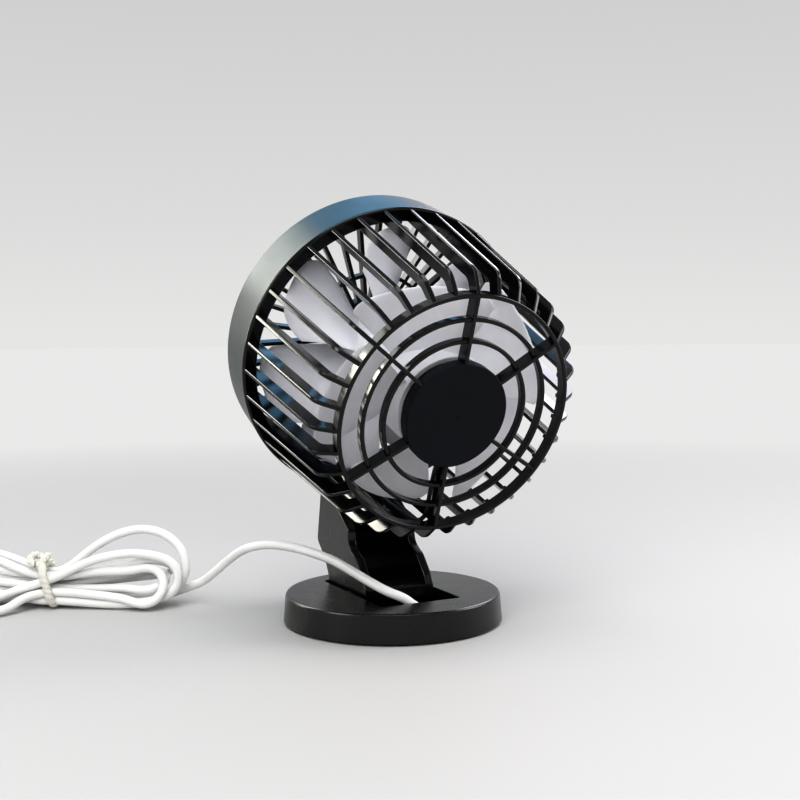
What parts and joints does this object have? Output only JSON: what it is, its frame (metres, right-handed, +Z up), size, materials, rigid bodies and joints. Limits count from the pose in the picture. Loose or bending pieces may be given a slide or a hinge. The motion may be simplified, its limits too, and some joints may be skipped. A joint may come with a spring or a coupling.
{
  "type": "desk fan",
  "caption": "Small desk fan: a drum-shaped head with a ribbed rear cage and a round front grille tilts on a folding arm over a round weighted base, with a tied power lead.",
  "frame": {"origin": "centre of the underside of the pad under the round base", "axes": "+Z up from the surface it stands on; the air leaves through the front grille towards -Y and the ribbed rear cage faces +Y; +X is on the side on which the lead leaves, the right of someone who faces the front grille"},
  "size_m": [0.2236, 0.1654, 0.1451],
  "materials": {
    "black_plastic": "satin moulded plastic",
    "band_plastic": "satin moulded plastic with a faint sheen",
    "disc_plastic": "fine matt moulded plastic",
    "rubber_pad": "matt",
    "blade_plastic": "glossy, slightly milky",
    "white_pvc": "soft sheen",
    "tie_cord": "twisted yarn",
    "steel": "turned",
    "cast_steel": "as cast",
    "plated_steel": "plated",
    "nylon": "moulded",
    "brass": "turned",
    "ferrite": "as pressed",
    "winding": "enamelled wire on steel",
    "wire_pvc": "soft sheen"
  },
  "bodies": {
    "base": {"base_shell": "black_plastic", "base_cover": "black_plastic", "base_weights": "cast_steel", "foot_pad": "rubber_pad", "base_screws": "steel", "base_pin": "steel", "fold_washers": "nylon", "strain_relief": "white_pvc", "cord_lead": "white_pvc", "cord_hank": "white_pvc", "cord_tie": "tie_cord", "cord_tail": "white_pvc", "usb_plug_grip": "white_pvc", "usb_plug_shell": "plated_steel", "usb_plug_tongue": "nylon"},
    "arm": {"arm": "black_plastic", "tilt_pin": "steel", "tilt_washers": "nylon"},
    "head": {"rear_cage": "black_plastic", "front_band": "band_plastic", "front_grille": "black_plastic", "front_cap": "disc_plastic", "cage_screws": "steel", "motor_mount": "black_plastic", "mount_screws": "steel", "motor_can": "plated_steel", "motor_end_bell": "nylon", "motor_terminals": "brass", "motor_magnets": "ferrite", "motor_bushes": "brass", "motor_wire": "wire_pvc", "front_motor_can": "plated_steel", "front_motor_magnets": "ferrite", "front_motor_card": "nylon", "front_bushes": "brass", "front_motor_wire": "wire_pvc"},
    "rotor": {"shaft": "steel", "armature": "winding", "rear_fan": "blade_plastic"},
    "front_rotor": {"front_shaft": "steel", "front_armature": "winding", "front_fan": "blade_plastic"}
  },
  "joints": [
    {"name": "arm_fold", "type": "hinge", "parent": "base", "child": "arm", "pos_m": [0, -0.01, 0.0058], "axis": [-1, 0, 0], "range_deg": [0, 20]},
    {"name": "head_tilt", "type": "hinge", "parent": "arm", "child": "head", "pos_m": [0, -0.0274, 0.0383], "axis": [-1, 0, 0], "range_deg": [-60, 8]},
    {"name": "rotor_spin", "type": "hinge", "parent": "head", "child": "rotor", "pos_m": [0, 0.04516, 0.07246], "axis": [0, -0.9336, 0.3584], "continuous": true},
    {"name": "front_spin", "type": "hinge", "parent": "head", "child": "front_rotor", "pos_m": [0, 0.04516, 0.07246], "axis": [0, 0.9336, -0.3584], "continuous": true}
  ]
}
